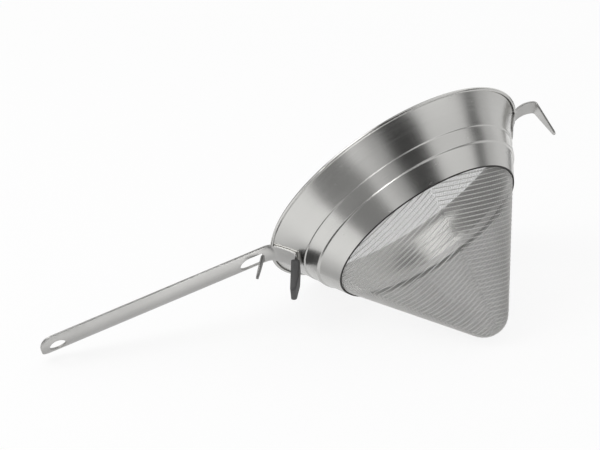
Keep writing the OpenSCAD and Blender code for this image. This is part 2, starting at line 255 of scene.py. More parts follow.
def marked_colour(tree, shader, place, light, dark, size=CLOUD_SIZE):
    """Lets the handling marks shift the colour between two tones, and returns their node."""
    node = add(tree, "ShaderNodeGroup", [(0, place), (1, size)], node_tree=marks)
    tone = add(tree, "ShaderNodeMix",
               [("Factor", node.outputs["Cloud"]), (6, (*light, 1)), (7, (*dark, 1))], data_type="RGBA")
    tree.links.new(tone.outputs[2], shader.inputs["Base Color"])
    return node


BUMP_DISTANCE = 0.0001


def raised(tree, shader, height, strength):
    """Lets a height stand out on the shader as a bump of a tenth of a millimetre."""
    bump = add(tree, "ShaderNodeBump",
               [("Height", height), ("Strength", strength), ("Distance", BUMP_DISTANCE)])
    tree.links.new(bump.outputs[0], shader.inputs["Normal"])


# %% Steels
DULLING, LINES_ROUGHEN, SCRATCHES_ROUGHEN = 1.6, 0.12, 0.06


def steel(name, colour, roughness, lines, line_value, bump, marked=0.1, anisotropic=0.0):
    material, tree, shader = new_material(name)
    shader.inputs["Metallic"].default_value = 1.0
    shader.inputs["Anisotropic"].default_value = anisotropic
    place = add(tree, "ShaderNodeTexCoord").outputs["Object"]
    line_node = add(tree, "ShaderNodeGroup", [(0, place), (1, line_value)], node_tree=lines)
    dull = tuple(c * (1 - DULLING * marked) for c in colour)
    mark_node = marked_colour(tree, shader, place, colour, dull)
    rough = roughness - marked / 2
    for source, share in ((mark_node.outputs["Cloud"], marked), (line_node.outputs[0], LINES_ROUGHEN),
                          (mark_node.outputs["Scratches"], SCRATCHES_ROUGHEN)):
        rough = math_node(tree, "MULTIPLY_ADD", source, share, rough)
    tree.links.new(rough, shader.inputs["Roughness"])
    raised(tree, shader, line_node.outputs[0], bump)
    return material


WIRE_LINES, WELD_LINES = (900.0, 900.0, 900.0), (500.0, 500.0, 500.0)
collar_steel = steel("Collar steel", (0.69, 0.685, 0.665), 0.16, spun, 1500.0, 0.10, 0.08, 0.3)
strip_steel = steel("Strip steel", (0.60, 0.595, 0.58), 0.26, rolled, STRIP_LINES, 0.25, 0.12)
wire_steel = steel("Wire steel", (0.78, 0.775, 0.76), 0.34, rolled, WIRE_LINES, 0.2, 0.1)
ring_steel = steel("Ring steel", (0.78, 0.775, 0.76), 0.4, spun, 1200.0, 0.2, 0.12)
weld_steel = steel("Weld steel", (0.60, 0.59, 0.575), 0.29, rolled, WELD_LINES, 0.3, 0.12)
# Near black steel for the collar's lower edge: painted shade of the gap under it, not a finish.
collar_edge_shade_steel = steel("Collar edge steel, painted shade", (0.10, 0.098, 0.095), 0.6, spun, 1200.0, 0.3, 0.2)
# The tongue's steel is the strip's steel made darker: painted shade, as the bent-down tongue lies in
# shadow.
tongue_shaded_steel = steel("Tongue steel, painted shade", (0.30, 0.297, 0.29), 0.42, rolled, STRIP_LINES, 0.25, 0.12)
cut_steel = steel("Cut edge steel", (0.48, 0.475, 0.46), 0.5, rolled, WIRE_LINES, 0.3, 0.1)
print("steels:", [m.name for m in bpy.data.materials if "steel" in m.name])

# %% [markdown]
# A piece is made from points and faces in millimetres. Its smooth faces share normals,
# and edges that turn more than the given angle stay crisp. The same helper puts it on
# the root body, names it and hides the CAD node that it stands for.


# %% Helpers that finish a piece
def put(name, data):
    """A new object for some data, in the scene."""
    obj = bpy.data.objects.new(name, data)
    bpy.context.scene.collection.objects.link(obj)
    return obj


def smooth(mesh, crisp):
    mesh.shade_smooth()
    mesh.set_sharp_from_angle(angle=math.radians(crisp))


def piece(name, shape, material, node, crisp=35):
    points, faces = shape
    mesh = bpy.data.meshes.new(name)
    mesh.from_pydata((np.asarray(points) * MM).tolist(), [], faces)
    mesh.validate()
    smooth(mesh, crisp)
    mesh.materials.append(material)
    obj = put(name, mesh)
    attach(obj, "root")
    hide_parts(node)
    print(name, len(mesh.vertices), "points", len(mesh.polygons), "faces")
    return obj


# %% [markdown]
# The collar is spun from sheet, so its profile turned round the axis is the whole shape.
# A lathe in mesh code gives control over the steps: many round the axis, so that the
# reflections run smoothly, and small curves at both ledges, which catch thin highlights.
# A second helper skins a row of rings, for the wires, the strips and the sleeve.


# %% Helpers for turned and skinned shapes
def turned_shape(profile, steps=256, start=0.0, stop=360.0):
    """Points and faces of a closed profile turned from one azimuth to another."""
    whole = stop - start >= 360
    count = steps if whole else steps + 1
    angles = np.radians(np.linspace(start, stop, steps + 1)[:count])
    ring = np.array(profile, float)
    n = len(ring)
    points = np.concatenate([
        np.stack([ring[:, 0] * math.cos(a), ring[:, 0] * math.sin(a), ring[:, 1]], 1) for a in angles])
    faces = []
    for i in range(steps):
        a, b = i * n, ((i + 1) % count) * n
        faces += [(a + j, b + j, b + (j + 1) % n, a + (j + 1) % n) for j in range(n)]
    if not whole:
        faces += [tuple(range(n)), tuple(reversed(range(steps * n, steps * n + n)))]
    return points, faces


def skinned(rings):
    """Points and faces of the closed skin over a row of rings with as many points each."""
    rings = np.asarray(rings, float)
    count, n, _ = rings.shape
    faces = [(k * n + j, k * n + (j + 1) % n, (k + 1) * n + (j + 1) % n, (k + 1) * n + j)
             for k in range(count - 1) for j in range(n)]
    faces += [tuple(reversed(range(n))), tuple(range((count - 1) * n, count * n))]
    return rings.reshape(-1, 3), faces


def joined(shapes):
    """Several shapes as one list of points and one of faces."""
    points, faces, first = [], [], 0
    for some_points, some_faces in shapes:
        points.append(np.asarray(some_points, float))
        faces += [tuple(v + first for v in face) for face in some_faces]
        first += len(some_points)
    return np.concatenate(points), faces


# %% The collar with its rolled rim
# The third size is how far up from the collar's lower edge the painted shade reaches, in millimetres.
LEDGE_ROUND, STRIP_GAP, SHADE_BAND_HEIGHT = 0.4, 0.3, 1.0
outer = rounded(collar_path, LEDGE_ROUND)
outer.insert(len(outer) - 1, outer[-1] - SHADE_BAND_HEIGHT * band_c_dir)
inner = rounded(beside(collar_path, SHEET_T), LEDGE_ROUND)
wall = turned_shape(outer + inner[::-1])
ROLL_START, ROLL_END, ROLL_STEPS, ROLL_TURNS = -120, 180 - FLARE_ANGLE + 4, 18, 120
roll_angles = np.linspace(ROLL_START, ROLL_END, ROLL_STEPS)
roll = ([curl_c + curl_r * heading(a) for a in roll_angles]
        + [curl_c + (curl_r - SHEET_T) * heading(a) for a in roll_angles[::-1]])


def half_gap(width):
    """Half the azimuth that the rolled rim leaves open for a strip of some width."""
    return math.degrees(math.asin((width / 2 + STRIP_GAP) / mouth_r))


hook_half, handle_half = half_gap(HOOK_W), half_gap(HANDLE_W)
near_roll = turned_shape(roll, ROLL_TURNS, hook_half, 180 - handle_half)
far_roll = turned_shape(roll, ROLL_TURNS, 180 + handle_half, 360 - hook_half)
collar = piece("collar_shell", joined([wall, near_roll, far_roll]), collar_steel,
               "collar")
# The edge face and the last millimetre of the outside above it get a near black steel:
# painted shade of the gap where the cloths come out under the edge.
collar.data.materials.append(collar_edge_shade_steel)
profile_len = len(outer) + len(inner)
for first_face in (len(outer) - 2, len(outer) - 1):
    for face in list(collar.data.polygons)[first_face:len(wall[1]):profile_len]:
        face.material_index = 1

# %% [markdown]
# Both cloths make one cone with a round tip. A place on a cloth is given by its
# distance from the tip along the cone and its azimuth, so any pattern that is worked
# out flat can be rolled onto the cone with one function.

# %% The cone's profile
tip_c = point(0, TIP_R - DEPTH)
TIP_STEPS = 16


def seat(layer, up):
    """A point on the lower band's inside, a layer's distance in and a way up from the edge."""
    inwards = point(band_c_dir[1], -band_c_dir[0])
    return band_c_foot + inwards * (SHEET_T + layer) - band_c_dir * up


def cone_line(layer):
    """Distances from the tip, (radius, height) points and outward normals along a cloth."""
    from_tip = seat(layer, 0) - tip_c
    radius = TIP_R - layer
    touch = math.degrees(math.atan2(from_tip[1], from_tip[0])
                         - math.acos(radius / np.linalg.norm(from_tip)))
    round_tip = [tip_c + radius * heading(a) for a in np.linspace(-90, touch, TIP_STEPS)]
    line = np.array(round_tip + [seat(layer, 0), seat(layer, TUCK_H)])
    steps = np.linalg.norm(np.diff(line, axis=0), axis=1)
    distance = np.concatenate([[0], np.cumsum(steps)])
    along = np.gradient(line, distance, axis=0)
    along /= np.linalg.norm(along, axis=1)[:, None]
    return distance, line, np.stack([along[:, 1], -along[:, 0]], 1)


def on_cone(profile, s, azimuth):
    """Points and outward normals on a cloth at distances s from the tip."""
    distance, line, normals = profile
    r, z = np.interp(s, distance, line[:, 0]), np.interp(s, distance, line[:, 1])
    nr, nz = np.interp(s, distance, normals[:, 0]), np.interp(s, distance, normals[:, 1])
    spin = np.stack([np.cos(azimuth), np.sin(azimuth)], -1)
    places = np.concatenate([spin * r[:, None], z[:, None]], 1)
    return places, np.concatenate([spin * nr[:, None], nz[:, None]], 1)


coarse = cone_line(COARSE_T / 2)
print("from the tip to the cloths' upper edge:", round(coarse[0][-1], 1), "mm")

# %% [markdown]
# The coarse outer cloth guards the fine one, and its wires are thick enough to be seen
# one by one. In the photograph they run nearly round the cone, dead straight if the
# cone is unrolled, and they meet in a V on the front. So this cloth is laid out as
# four gores. In each, stout wires run straight across, and thin ones run down and
# weave over and under them. All are real tubes, because a picture of a weave would
# look flat along the cone's outline, where the wires stand out.

# %% The gores of the coarse cloth
COARSE_PITCH, THIN_PITCH, STOUT_R, THIN_R, THIN_CRIMP = 2.86, 1.43, 0.35, 0.12, 0.45
STOUT_SIDES, THIN_SIDES, TIP_GAP, EDGE_GAP = 8, 4, 0.6, 0.3
# Azimuths of a gore's two seams, and of the line that its stout wires cross squarely.
GORES = [(181, 271, 232), (271, 361, 303.5), (1, 91, 46), (91, 181, 136)]
straight_step = coarse[0][TIP_STEPS] - coarse[0][TIP_STEPS - 1]
unrolled = (coarse[1][TIP_STEPS, 0] - coarse[1][TIP_STEPS - 1, 0]) / straight_step
from_apex = coarse[1][TIP_STEPS - 1, 0] / unrolled - coarse[0][TIP_STEPS - 1]
cloth_end = coarse[0][-1] - EDGE_GAP
print("a full turn unrolls to", round(360 * unrolled, 1), "degrees")


def wire(places, normals, lift, radius, sides):
    """One tube that follows the cloth at a changing height."""
    middle = places + normals * lift[:, None]
    along = np.gradient(middle, axis=0)
    along /= np.linalg.norm(along, axis=1)[:, None]
    side = np.cross(along, normals)
    side /= np.linalg.norm(side, axis=1)[:, None]
    up = np.cross(side, along)
    turn = np.radians(np.arange(sides) * 360 / sides)[None, :, None]
    return skinned(middle[:, None] + radius * (np.cos(turn) * side[:, None] + np.sin(turn) * up[:, None]))


def gore_wires(gore, across):
    """The wires of one gore: the stout ones across it, or the thin ones down it."""
    first_seam, last_seam, middle_line = gore
    low, high = [math.radians(seam - middle_line) * unrolled for seam in (first_seam, last_seam)]
    pitch = COARSE_PITCH if across else THIN_PITCH
    last = int((cloth_end + from_apex) / pitch) + 1
    steps = np.arange(-last if across else 1, 2 * last) * COARSE_PITCH / 2
    shapes = []
    for i in range(1 if across else -last, last + 1):
        fixed = np.full(len(steps), i * pitch)
        u, v = (fixed, steps) if across else (steps, fixed)
        s, angle = np.hypot(u, v) - from_apex, np.arctan2(v, u)
        inside = (angle >= low) & (angle <= high) & (s > TIP_GAP) & (s < cloth_end)
        if inside.sum() < 3:
            continue
        azimuth = math.radians(middle_line) + angle[inside] / unrolled
        places, normals = on_cone(coarse, s[inside], azimuth)
        if across:
            shapes.append(wire(places, normals, 0 * azimuth, STOUT_R, STOUT_SIDES))
        else:
            wave = THIN_CRIMP * np.cos(math.pi * (u[inside] / COARSE_PITCH + i))
            shapes.append(wire(places, normals, wave, THIN_R, THIN_SIDES))
    return shapes


# %% The coarse cloth's wires
for label, across in (("stout", True), ("thin", False)):
    shapes = [shape for gore in GORES for shape in gore_wires(gore, across)]
    piece(f"coarse_{label}_wires", joined(shapes), wire_steel, "coarse_mesh", crisp=80)

# %% [markdown]
# The fine inner cloth has hundreds of thousands of crossings, far too many to model one
# by one, and from a kitchen's distance only its tone and its see-through show. So it is
# one thin surface with the flat cloth's own coordinates stored on it. A node group
# turns these into wires and gaps: the gaps are left open with alpha, and a bump rounds
# the wires.

# %% The weave of the fine cloth
FINE_PITCH, FINE_SHARE, FINE_BUMP = 0.0005, 0.24, 0.6
weave, weave_in, weave_out = start_group(
    "Fine weave",
    [("Place", "NodeSocketVector", None), ("Pitch", "NodeSocketFloat", 0.0005),
     ("Wire share", "NodeSocketFloat", 0.25)],
    ["Wire", "Height"])
flat_place = add(weave, "ShaderNodeSeparateXYZ", [(0, weave_in.outputs[0])])
from_wire = []
for axis in (0, 1):
    pitches = math_node(weave, "DIVIDE", flat_place.outputs[axis], weave_in.outputs[1])
    off_middle = math_node(weave, "SUBTRACT", math_node(weave, "FRACT", pitches), 0.5)
    from_wire.append(math_node(weave, "MULTIPLY", math_node(weave, "ABSOLUTE", off_middle), 2.0))
edge_of_gap = math_node(weave, "SUBTRACT", 1.0, weave_in.outputs[2])
either = math_node(weave, "MAXIMUM", from_wire[0], from_wire[1])
weave.links.new(math_node(weave, "GREATER_THAN", either, edge_of_gap), weave_out.inputs[0])
weave.links.new(math_node(weave, "POWER", either, 6.0), weave_out.inputs[1])

fine_shaded_steel, tree, shader = new_material("Fine wire steel, painted shade")
shader.inputs["Metallic"].default_value = 1.0
shader.inputs["Roughness"].default_value = 0.4
flat_cloth = add(tree, "ShaderNodeAttribute", attribute_name="flat_cloth")
fine_weave = add(tree, "ShaderNodeGroup",
                 [(0, flat_cloth.outputs["Vector"]), (1, FINE_PITCH), (2, FINE_SHARE)], node_tree=weave)
tree.links.new(fine_weave.outputs["Wire"], shader.inputs["Alpha"])
raised(tree, shader, fine_weave.outputs["Height"], FINE_BUMP)
# Both tones are far darker than the coarse wire's steel: painted shade, standing in for the shade among
# the fine wires.
marked_colour(tree, shader, add(tree, "ShaderNodeTexCoord").outputs["Object"],
              (0.42, 0.415, 0.405), (0.32, 0.315, 0.31))
print("fine cloth:", FINE_PITCH * 1000, "mm from wire to wire")

# %% The fine cloth's surface
fine_profile = cone_line(COARSE_T + FINE_T / 2)
FINE_AROUND, FINE_ROWS = 192, 60
tip_end, fine_end = fine_profile[0][TIP_STEPS - 1], fine_profile[0][-1]
fine_s = np.concatenate([np.linspace(0, tip_end, TIP_STEPS)[1:],
                         np.linspace(tip_end, fine_end, FINE_ROWS)[1:]])
around = np.radians(np.arange(FINE_AROUND) * 360 / FINE_AROUND)
flat_u, flat_v = np.outer(fine_s, np.cos(around)).ravel(), np.outer(fine_s, np.sin(around)).ravel()
flat_u, flat_v = np.append(flat_u, 0), np.append(flat_v, 0)
fine_places, _ = on_cone(fine_profile, np.hypot(flat_u, flat_v), np.arctan2(flat_v, flat_u))
fine_faces = []
for first in range(0, (len(fine_s) - 1) * FINE_AROUND, FINE_AROUND):
    for j in range(FINE_AROUND):
        after = (j + 1) % FINE_AROUND
        fine_faces.append((first + j, first + FINE_AROUND + j, first + FINE_AROUND + after, first + after))
fine_faces += [(len(flat_u) - 1, j, (j + 1) % FINE_AROUND) for j in range(FINE_AROUND)]
fine_cloth = piece("fine_cloth", (fine_places, fine_faces), fine_shaded_steel,
                   "fine_mesh", crisp=80)
stored = fine_cloth.data.attributes.new("flat_cloth", "FLOAT_VECTOR", "POINT")
flat_places = np.stack([flat_u, flat_v, 0 * flat_u], 1) * MM
stored.data.foreach_set("vector", flat_places.ravel().astype(np.float32))

# %% [markdown]
# The clamp ring holds both cloths against the collar from inside. It is a plain turned
# band, and eight tack welds keep it there. The welds stay as the CAD made them, with
# the darker steel that welding leaves.

# %% Clamp ring and tack welds
RING_ROUND, RING_TURNS = 0.25, 192
ring_layer = COARSE_T + FINE_T
ring_path = [seat(ring_layer, TUCK_H + RING_OVER), seat(ring_layer, RING_LIFT)]
ring_profile = ring_path + beside(ring_path, RING_T)[::-1]
closed = rounded([ring_profile[-1]] + ring_profile + ring_profile[:1], RING_ROUND)[1:-1]
piece("clamp_band", turned_shape(closed, RING_TURNS), ring_steel, "clamp_ring")
tack_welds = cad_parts["ring_tack_welds"]
tack_welds.data.materials.clear()
tack_welds.data.materials.append(weld_steel)

# %% [markdown]
# The handle and the hook are bent from strip. A strip is a row of cross sections along
# its run. Each row is a function that gives the strip's inner face at a width y, so
# flat, troughed and wrapped stretches can follow one another. The section's long
# edges are rounded, as a strip's edges are after trimming.


# %% Helper for bent strips
def strip_shape(rows, thickness, edge_r, across=12, first_inset=0.0):
    """rows holds (face function, half width) from end to end, and the first may be drawn in."""
    arc = np.radians(np.linspace(0, 90, 5))
    rings = []
    last, nudge = len(rows) - 1, 0.05
    for k, (face, half) in enumerate(rows):
        inset = first_inset if k == 0 else 0.0
        flat = half - edge_r
        face_y = np.linspace(-flat, flat, across + 1)
        turn_y, turn_d = flat + edge_r * np.sin(arc[1:]), edge_r * (1 - np.cos(arc[1:]))
        y = np.concatenate([face_y, turn_y, turn_y[::-1], face_y[::-1], -turn_y, -turn_y[::-1]])
        depth = np.concatenate([0 * face_y, turn_d, thickness - turn_d[::-1], 0 * face_y + thickness,
                                thickness - turn_d, turn_d[::-1]])
        depth = inset + depth * (1 - 2 * inset / thickness)
        run = rows[min(k + 1, last)][0](y) - rows[max(k - 1, 0)][0](y)
        normal = np.cross(run, face(y + nudge) - face(y - nudge))
        normal /= np.linalg.norm(normal, axis=1)[:, None]
        rings.append(face(y) - depth[:, None] * normal)
    return skinned(rings)


def flat_row(place):
    """A straight row across the strip at a point (x, z)."""
    return lambda y: np.stack([0 * y + place[0], y, 0 * y + place[1]], 1)


def wall_row(side, z_of_y):
    """A row on the flared band's outer face, on the side of +X (1) or -X (-1)."""
    def face(y):
        z = z_of_y(y)
        return np.stack([side * np.sqrt(wall_r(z) ** 2 - y * y), y, z], 1)
    return face


def moved_row(row, shift, keep):
    """A row moved by (x, z), with the share keep of its crown left."""
    def face(y):
        middle = row(np.zeros(1))
        places = middle + (row(y) - middle) * keep + point(shift[0], 0, shift[1])
        places[:, 1] = y
        return places
    return face


# %% [markdown]
# The handle is a shallow trough. Near the rim it turns down and flattens onto the
# collar as the root, and then bends away as the foot. A straight mix of trough and
# root would leave two sharp bends, so each line along the strip follows its own
# smooth curve from one to the other.

# %% The handle's rows
EDGE_IN, BLEND_LEAD, ROOT_TOP, REACH_IN = 0.75 * CURL_D, 1, 0.7 * CURL_D, 3
handle_dir = -HANDLE_CLIMB
climb_cos = math.cos(math.radians(HANDLE_CLIMB))
edge_start = point(-(mouth_r - EDGE_IN), HANDLE_LIFT)
edge_len = (mouth_r + HANDLE_REACH + edge_start[0]) / climb_cos
slot_start = (mouth_r + SLOT_GAP + edge_start[0]) / climb_cos
blend_start = (mouth_r + SLOT_GAP - BLEND_LEAD + edge_start[0]) / climb_cos
handle_half_w = HANDLE_W / 2


def trough(y):
    return TROUGH_H * (1 - (y / handle_half_w) ** 2)


def handle_row(s):
    def face(y):
        base = edge_start - s * heading(handle_dir)
        down = right_of(handle_dir)
        return np.stack([base[0] + trough(y) * down[0], y, base[1] + trough(y) * down[1]], 1)
    return face


def root_row(f):
    return wall_row(-1, lambda y: -(ROOT_TOP + trough(y)) * (1 - f) - ROOT_H * f)


def blend_row(f):
    """From the trough to the root each line along the strip is one smooth curve."""
    def face(y):
        a, d = handle_row(blend_start)(y), root_row(0)(y)
        down = np.radians([wall_lean(z) - 90 for z in d[:, 2]])
        b = a + REACH_IN * point(heading(handle_dir)[0], 0, heading(handle_dir)[1])
        c = d - REACH_IN * np.stack([np.cos(down), 0 * down, np.sin(down)], 1)
        return (1 - f) ** 3 * a + 3 * (1 - f) ** 2 * f * b + 3 * (1 - f) * f * f * c + f ** 3 * d
    return face


BEND_AIR, FOOT_TAPER = 0.8, 7
root_dir, foot_dir = wall_lean(-ROOT_H) - 90, -90 - FOOT_LEAN
foot_bend_r = HANDLE_T + BEND_AIR
foot_turn = bend_right(foot_bend_r, root_dir, foot_dir)
foot_start = point(-wall_r(-ROOT_H), -ROOT_H) + foot_turn
sleeve_top = FOOT_L + SLEEVE_WALL - SLEEVE_L
print("handle", round(edge_len, 1), "mm along its edge, foot from z", round(float(foot_start[1]), 1))

# %% [markdown]
# The handle's outline comes from the half width of each row: it shrinks round the two
# end corners and at the foot's shoulders. The slot and the hanging hole are cut with
# exact booleans, because a hole across a curved trough is hard to lay out by hand.

# %% The handle's shape
BEND_ROWS, RUN_ROWS, ROOT_ROWS, HANDLE_EDGE, END_INSET = 14, 40, 10, 0.4, 0.35
corner_s = np.concatenate([[0, 0.25], END_R * (1 - np.cos(np.radians(np.linspace(12, 90, 10))))])
handle_rows = [(handle_row(edge_len - s), round_end(handle_half_w, END_R, s)) for s in corner_s]
run_s = np.linspace(edge_len - END_R - 1, blend_start, RUN_ROWS)
bend_shares = np.linspace(0, 1, BEND_ROWS + 1)[1:]
full_rows = [handle_row(s) for s in run_s] + [blend_row(f) for f in bend_shares]
full_rows += [root_row(f) for f in np.linspace(0, 1, ROOT_ROWS)[1:]]
for f in bend_shares:
    shift = bend_right(foot_bend_r, root_dir, root_dir + (foot_dir - root_dir) * f)
    full_rows.append(moved_row(root_row(1), shift, 1 - f))
handle_rows += [(row, handle_half_w) for row in full_rows]
for s, half in ((sleeve_top * 0.6, FOOT_W / 2 + 1), (sleeve_top, FOOT_W / 2), (FOOT_L, FOOT_W / 2)):
    handle_rows.append((flat_row(foot_start + s * heading(foot_dir)), half))
handle_shape = strip_shape(handle_rows, HANDLE_T, HANDLE_EDGE, across=20, first_inset=END_INSET)
print("handle rows:", len(handle_rows))

# %% [markdown]
# The tongue is metal of the slot, cut free on three sides and bent down. It is made as
# a strip of its own whose root is sunk a little into the handle's metal, because one
# skin for both would need a seam round the slot.

# %% The tongue's shape
TONGUE_ROOT, TONGUE_SINK, TONGUE_AIR, TONGUE_EDGE = 1, 0.2, 0.4, 0.35
tongue_bend_r = HANDLE_T + TONGUE_AIR
tongue_out, tongue_dir = 180 - HANDLE_CLIMB, 270 - TONGUE_LEAN
tongue_0 = (edge_start - (slot_start - TONGUE_ROOT) * heading(handle_dir)
            + (TROUGH_H + TONGUE_SINK) * right_of(handle_dir))
tongue_path = [tongue_0]
for a in np.linspace(tongue_out, tongue_dir, 8):
    tongue_path.append(tongue_0 + TONGUE_ROOT * heading(tongue_out)
                       + tongue_bend_r * (right_of(a) - right_of(tongue_out)))
tongue_rows = [(flat_row(p), TONGUE_W / 2) for p in tongue_path]
tip_round, taper_start = TONGUE_TIP_W / 2, 0.4 * TONGUE_L
for s in np.concatenate([np.linspace(taper_start, TONGUE_L - tip_round, 4),
                         TONGUE_L - tip_round * (1 - np.sin(np.radians((30, 50, 68, 80))))]):
    widest = np.interp(s, [taper_start, TONGUE_L], [TONGUE_W, TONGUE_TIP_W]) / 2
    tongue_rows.append((flat_row(tongue_path[-1] + s * heading(tongue_dir)),
                        round_end(widest, tip_round, TONGUE_L - s)))
tongue_shape = strip_shape(tongue_rows[::-1], HANDLE_T, TONGUE_EDGE, across=6)
print("tongue rows:", len(tongue_rows))


# %% Helpers for cuts
def prism(outline, low, high):
    """Points and faces of an outline (x, y) raised from one height to another."""
    n = len(outline)
    points = [(x, y, z) for z in (low, high) for x, y in outline]
    faces = [tuple(reversed(range(n))), tuple(range(n, 2 * n))]
    faces += [(j, (j + 1) % n, n + (j + 1) % n, n + j) for j in range(n)]
    return points, faces


def on_handle(s, shape):
    """Places a shape on the handle: x towards the collar, z up from the long edges."""
    points, faces = shape
    a = math.radians(HANDLE_CLIMB)
    return [(edge_start[0] + (x - s) * math.cos(a) + z * math.sin(a), y,
             edge_start[1] - (x - s) * math.sin(a) + z * math.cos(a)) for x, y, z in points], faces


def keep_result(obj):
    """Makes what the modifiers give the object's own mesh."""
    bpy.context.view_layer.update()
    made = bpy.data.meshes.new_from_object(obj.evaluated_get(bpy.context.evaluated_depsgraph_get()))
    obj.modifiers.clear()
    obj.data = made


def cut(obj, shape):
    """Takes a closed shape out of a piece, whose second material covers the cut."""
    points, faces = shape
    mesh = bpy.data.meshes.new("cutter")
    mesh.from_pydata((np.asarray(points) * MM).tolist(), [], faces)
    for face in mesh.polygons:
        face.material_index = 1
    tool = put("cutter", mesh)
    modifier = obj.modifiers.new("cut", "BOOLEAN")
    modifier.object, modifier.operation, modifier.solver = tool, "DIFFERENCE", "EXACT"
    keep_result(obj)
    bpy.data.objects.remove(tool)


# %% The handle, with its slot and hanging hole cut
BELOW, ABOVE, CUT_EDGE = -8, 4, 0.12
handle = piece("handle_strip", handle_shape, strip_steel, "handle")
handle.data.materials.append(cut_steel)
half_round = [(SLOT_W / 2 * (1 + math.cos(a)), SLOT_W / 2 * math.sin(a))
              for a in np.radians(np.linspace(90, 270, 40))]
slot_outline = half_round + [(SLOT_L, -SLOT_W / 2), (SLOT_L, SLOT_W / 2)]
cut(handle, on_handle(slot_start + SLOT_L, prism(slot_outline, BELOW, ABOVE)))
hole_outline = [(HANG_D / 2 * math.cos(a), HANG_D / 2 * math.sin(a))
                for a in np.radians(np.arange(0, 360, 5))]
cut(handle, on_handle(edge_len - HANG_IN, prism(hole_outline, BELOW, ABOVE)))
bevel = handle.modifiers.new("trimmed edges", "BEVEL")
bevel.width, bevel.segments, bevel.limit_method = CUT_EDGE * MM, 2, "ANGLE"
bevel.angle_limit = math.radians(55)
keep_result(handle)
smooth(handle.data, crisp=35)
piece("handle_tongue", tongue_shape, tongue_shaded_steel, "handle")
print("handle cut:", len(handle.data.polygons), "faces")

# %% [markdown]
# The foot wears a dark matt sleeve. It is modelled as a strip of its own that is thick
# and well rounded, with the long bevel on the side of the collar and a soft tip.
# Its finish is a moulded grey with a very fine grain.

# %% Sleeve material
GRAIN_FINENESS, SLEEVE_CLOUD, SLEEVE_ROUGHNESS, CLOUD_ROUGHENS = 2600.0, 60.0, 0.5, 0.15
sleeve_dark, tree, shader = new_material("Sleeve, moulded dark grey")
shader.inputs["Specular IOR Level"].default_value = 0.4
sleeve_place = add(tree, "ShaderNodeTexCoord").outputs["Object"]
grain = add(tree, "ShaderNodeTexNoise",
            [("Vector", sleeve_place), ("Scale", GRAIN_FINENESS), ("Detail", 2.0)])
raised(tree, shader, grain.outputs[0], 0.25)
sleeve_marks = marked_colour(tree, shader, sleeve_place, (0.055, 0.055, 0.057), (0.085, 0.084, 0.083),
                             SLEEVE_CLOUD)
sleeve_rough = math_node(tree, "MULTIPLY_ADD", sleeve_marks.outputs["Cloud"], CLOUD_ROUGHENS,
                         SLEEVE_ROUGHNESS)
tree.links.new(sleeve_rough, shader.inputs["Roughness"])
print("sleeve material:", sleeve_dark.name)

# %% The sleeve
BEVEL_L, BEVEL_D, SLEEVE_ROUND = 11, 0.9 * SLEEVE_WALL, 1.3
SOFT_END, SOFT_TOP, FACE_SHARE = 1.6, 0.4, 0.6
sleeve_end = FOOT_L + SLEEVE_WALL
to_collar = -right_of(foot_dir)


def sleeve_ring(s):
    """The sleeve's rounded outline at a distance s down the foot."""
    soft = -round_end(0, SOFT_END, sleeve_end - s) + (SOFT_TOP if s == sleeve_top else 0)
    half = np.interp(s, [0, FOOT_L - FOOT_TAPER, sleeve_end], [FOOT_W, FOOT_W, FOOT_TIP_W]) / 2
    half += SLEEVE_WALL - soft
    front = SLEEVE_WALL - np.interp(s, [sleeve_end - BEVEL_L, sleeve_end], [0, BEVEL_D])
    front -= soft * FACE_SHARE
    back = -HANDLE_T - SLEEVE_WALL + soft * FACE_SHARE
    r = min(SLEEVE_ROUND, (front - back) / 2.05)
    base = foot_start + s * heading(foot_dir)
    ring = []
    for y, out, start in ((half - r, front - r, 0), (r - half, front - r, 90),
                          (r - half, back + r, 180), (half - r, back + r, 270)):
        for a in np.radians(np.linspace(start, start + 90, 7)):
            d = out + r * math.sin(a)
            ring.append((base[0] + to_collar[0] * d, y + r * math.cos(a), base[1] + to_collar[1] * d))
    return ring


sleeve_s = np.concatenate([[sleeve_top, sleeve_top + 0.5],
                           np.linspace(sleeve_top + 1.5, sleeve_end - SOFT_END, 14),
                           sleeve_end - SOFT_END * (1 - np.sin(np.radians((30, 55, 75, 90))))])
piece("foot_sleeve_moulding", skinned([sleeve_ring(s) for s in sleeve_s]), sleeve_dark,
      "foot_sleeve", crisp=60)

# %% [markdown]
# The pan hook is a narrower strip on the far side. It lies on the flared band, turns
# over the rim, runs out in a low arch and drops as a leg that narrows to its tip.
# Its bends are plain arcs, so each is made of rows that turn step by step.

# %% The pan hook's bends
HOOK_START, ARCH_START, ARCH_END, LEG_DIR = 90 - FLARE_ANGLE, 18, -28, -90
HOOK_BEND_R, LEG_BEND_R = 4.5, HOOK_T + 2.2
over_rim = wall_top + bend_right(HOOK_BEND_R, HOOK_START, ARCH_START)
last_bend = bend_right(LEG_BEND_R, ARCH_END, LEG_DIR)
arch_sines = math.sin(math.radians(ARCH_START)) - math.sin(math.radians(ARCH_END))
arch_r = (mouth_r + HOOK_REACH - over_rim[0] - last_bend[0]) / arch_sines
arch_out = over_rim + bend_right(arch_r, ARCH_START, ARCH_END)
leg_top = arch_out + last_bend
plate_l, leg_l = HOOK_PLATE_H + wall_top[1], leg_top[1] + HOOK_DROP
print("hook: arch radius", round(float(arch_r), 1), "mm, leg", round(float(leg_l), 1), "mm")


def plate_row(f):
    return wall_row(1, lambda y: 0 * y - HOOK_PLATE_H + plate_l * f)


# %% The pan hook
PLATE_ROUND, HOOK_TIP_ROUND, HOOK_EDGE = 3, 2, 0.35
hook_rows = [(plate_row(z / plate_l), round_end(HOOK_W / 2, PLATE_ROUND, z))
             for z in PLATE_ROUND * (1 - np.cos(np.radians(np.linspace(0, 90, 8))))]
hook_rows += [(plate_row(f), HOOK_W / 2) for f in np.linspace(0.4, 1, 6)]
